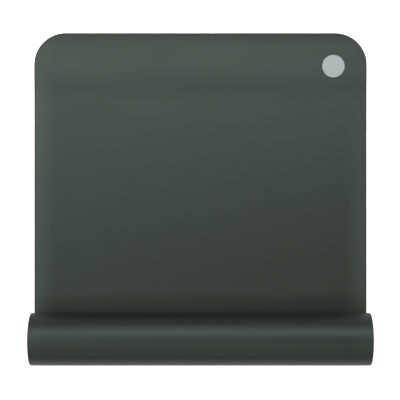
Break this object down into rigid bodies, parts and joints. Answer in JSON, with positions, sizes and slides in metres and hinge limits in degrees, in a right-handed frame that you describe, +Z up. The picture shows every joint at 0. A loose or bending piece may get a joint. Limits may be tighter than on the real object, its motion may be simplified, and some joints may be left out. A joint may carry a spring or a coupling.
{
  "type": "yoga mat",
  "caption": "Exercise mat of foam rubber with rounded corners, flat at its free end and wound into a roll at the other; the free end curls over and the roll's outer turn opens.",
  "frame": {"origin": "middle of the mat's footprint, on the floor", "axes": "+X across the mat, along the roll; +Y along the flat stretch, from the roll to the free end; +Z up"},
  "size_m": [0.61, 0.604, 0.0965],
  "materials": {
    "foam_rubber": "satin"
  },
  "bodies": {
    "flat_sheet": {"flat_sheet": "foam_rubber"},
    "flap_strip_01": {"flap_strip_01": "foam_rubber"},
    "flap_strip_02": {"flap_strip_02": "foam_rubber"},
    "flap_strip_03": {"flap_strip_03": "foam_rubber"},
    "flap_strip_04": {"flap_strip_04": "foam_rubber"},
    "flap_strip_05": {"flap_strip_05": "foam_rubber"},
    "flap_strip_06": {"flap_strip_06": "foam_rubber"},
    "flap_strip_07": {"flap_strip_07": "foam_rubber"},
    "flap_strip_08": {"flap_strip_08": "foam_rubber"},
    "flap_strip_09": {"flap_strip_09": "foam_rubber"},
    "flap_strip_10": {"flap_strip_10": "foam_rubber"},
    "flap_strip_11": {"flap_strip_11": "foam_rubber"},
    "free_end": {"free_end": "foam_rubber"},
    "roll_strip_1": {"roll_strip_1": "foam_rubber"},
    "roll_strip_2": {"roll_strip_2": "foam_rubber"},
    "roll_strip_3": {"roll_strip_3": "foam_rubber"},
    "roll_strip_4": {"roll_strip_4": "foam_rubber"},
    "roll_strip_5": {"roll_strip_5": "foam_rubber"},
    "roll_strip_6": {"roll_strip_6": "foam_rubber"},
    "roll_strip_7": {"roll_strip_7": "foam_rubber"},
    "roll_strip_8": {"roll_strip_8": "foam_rubber"},
    "wound_roll": {"wound_roll": "foam_rubber"}
  },
  "joints": [
    {"name": "curl", "type": "hinge", "parent": "flat_sheet", "child": "flap_strip_01", "pos_m": [0, -0.06404, 0.004], "axis": [1, 0, 0], "range_deg": [0, 18]},
    {"name": "curl_02", "type": "hinge", "parent": "flap_strip_01", "child": "flap_strip_02", "pos_m": [0, -0.03804, 0.004], "axis": [1, 0, 0], "range_deg": [0, 18]},
    {"name": "curl_03", "type": "hinge", "parent": "flap_strip_02", "child": "flap_strip_03", "pos_m": [0, -0.01204, 0.004], "axis": [1, 0, 0], "range_deg": [0, 18]},
    {"name": "curl_04", "type": "hinge", "parent": "flap_strip_03", "child": "flap_strip_04", "pos_m": [0, 0.01396, 0.004], "axis": [1, 0, 0], "range_deg": [0, 18]},
    {"name": "curl_05", "type": "hinge", "parent": "flap_strip_04", "child": "flap_strip_05", "pos_m": [0, 0.03996, 0.004], "axis": [1, 0, 0], "range_deg": [0, 18]},
    {"name": "curl_06", "type": "hinge", "parent": "flap_strip_05", "child": "flap_strip_06", "pos_m": [0, 0.06596, 0.004], "axis": [1, 0, 0], "range_deg": [0, 18]},
    {"name": "curl_07", "type": "hinge", "parent": "flap_strip_06", "child": "flap_strip_07", "pos_m": [0, 0.09196, 0.004], "axis": [1, 0, 0], "range_deg": [0, 18]},
    {"name": "curl_08", "type": "hinge", "parent": "flap_strip_07", "child": "flap_strip_08", "pos_m": [0, 0.11796, 0.004], "axis": [1, 0, 0], "range_deg": [0, 18]},
    {"name": "curl_09", "type": "hinge", "parent": "flap_strip_08", "child": "flap_strip_09", "pos_m": [0, 0.14396, 0.004], "axis": [1, 0, 0], "range_deg": [0, 18]},
    {"name": "curl_10", "type": "hinge", "parent": "flap_strip_09", "child": "flap_strip_10", "pos_m": [0, 0.16996, 0.004], "axis": [1, 0, 0], "range_deg": [0, 18]},
    {"name": "curl_11", "type": "hinge", "parent": "flap_strip_10", "child": "flap_strip_11", "pos_m": [0, 0.19596, 0.004], "axis": [1, 0, 0], "range_deg": [0, 18]},
    {"name": "curl_12", "type": "hinge", "parent": "flap_strip_11", "child": "free_end", "pos_m": [0, 0.22196, 0.004], "axis": [1, 0, 0], "range_deg": [0, 18]},
    {"name": "unroll", "type": "hinge", "parent": "flat_sheet", "child": "roll_strip_1", "pos_m": [0, -0.26159, 0.00075], "axis": [1, 0, 0], "range_deg": [0, 20]},
    {"name": "unroll_2", "type": "hinge", "parent": "roll_strip_1", "child": "roll_strip_2", "pos_m": [0, -0.27761, 0.00657], "axis": [1, 0, 0], "range_deg": [0, 20]},
    {"name": "unroll_3", "type": "hinge", "parent": "roll_strip_2", "child": "roll_strip_3", "pos_m": [0, -0.2906, 0.01747], "axis": [1, 0, 0], "range_deg": [0, 20]},
    {"name": "unroll_4", "type": "hinge", "parent": "roll_strip_3", "child": "roll_strip_4", "pos_m": [0, -0.29904, 0.03209], "axis": [1, 0, 0], "range_deg": [0, 20]},
    {"name": "unroll_5", "type": "hinge", "parent": "roll_strip_4", "child": "roll_strip_5", "pos_m": [0, -0.30196, 0.04863], "axis": [1, 0, 0], "range_deg": [0, 20]},
    {"name": "unroll_6", "type": "hinge", "parent": "roll_strip_5", "child": "roll_strip_6", "pos_m": [0, -0.29906, 0.06508], "axis": [1, 0, 0], "range_deg": [0, 20]},
    {"name": "unroll_7", "type": "hinge", "parent": "roll_strip_6", "child": "roll_strip_7", "pos_m": [0, -0.29075, 0.07949], "axis": [1, 0, 0], "range_deg": [0, 20]},
    {"name": "unroll_8", "type": "hinge", "parent": "roll_strip_7", "child": "roll_strip_8", "pos_m": [0, -0.27808, 0.09012], "axis": [1, 0, 0], "range_deg": [0, 20]},
    {"name": "unroll_9", "type": "hinge", "parent": "roll_strip_8", "child": "wound_roll", "pos_m": [0, -0.26261, 0.09575], "axis": [1, 0, 0], "range_deg": [0, 20]}
  ],
  "couplings": [
    {"joint": "curl_02", "follows": "curl", "ratio": 1},
    {"joint": "curl_03", "follows": "curl", "ratio": 1},
    {"joint": "curl_04", "follows": "curl", "ratio": 1},
    {"joint": "curl_05", "follows": "curl", "ratio": 1},
    {"joint": "curl_06", "follows": "curl", "ratio": 1},
    {"joint": "curl_07", "follows": "curl", "ratio": 1},
    {"joint": "curl_08", "follows": "curl", "ratio": 1},
    {"joint": "curl_09", "follows": "curl", "ratio": 1},
    {"joint": "curl_10", "follows": "curl", "ratio": 1},
    {"joint": "curl_11", "follows": "curl", "ratio": 1},
    {"joint": "curl_12", "follows": "curl", "ratio": 1},
    {"joint": "unroll_2", "follows": "unroll", "ratio": 1},
    {"joint": "unroll_3", "follows": "unroll", "ratio": 1},
    {"joint": "unroll_4", "follows": "unroll", "ratio": 1},
    {"joint": "unroll_5", "follows": "unroll", "ratio": 1},
    {"joint": "unroll_6", "follows": "unroll", "ratio": 1},
    {"joint": "unroll_7", "follows": "unroll", "ratio": 1},
    {"joint": "unroll_8", "follows": "unroll", "ratio": 1},
    {"joint": "unroll_9", "follows": "unroll", "ratio": 1}
  ]
}
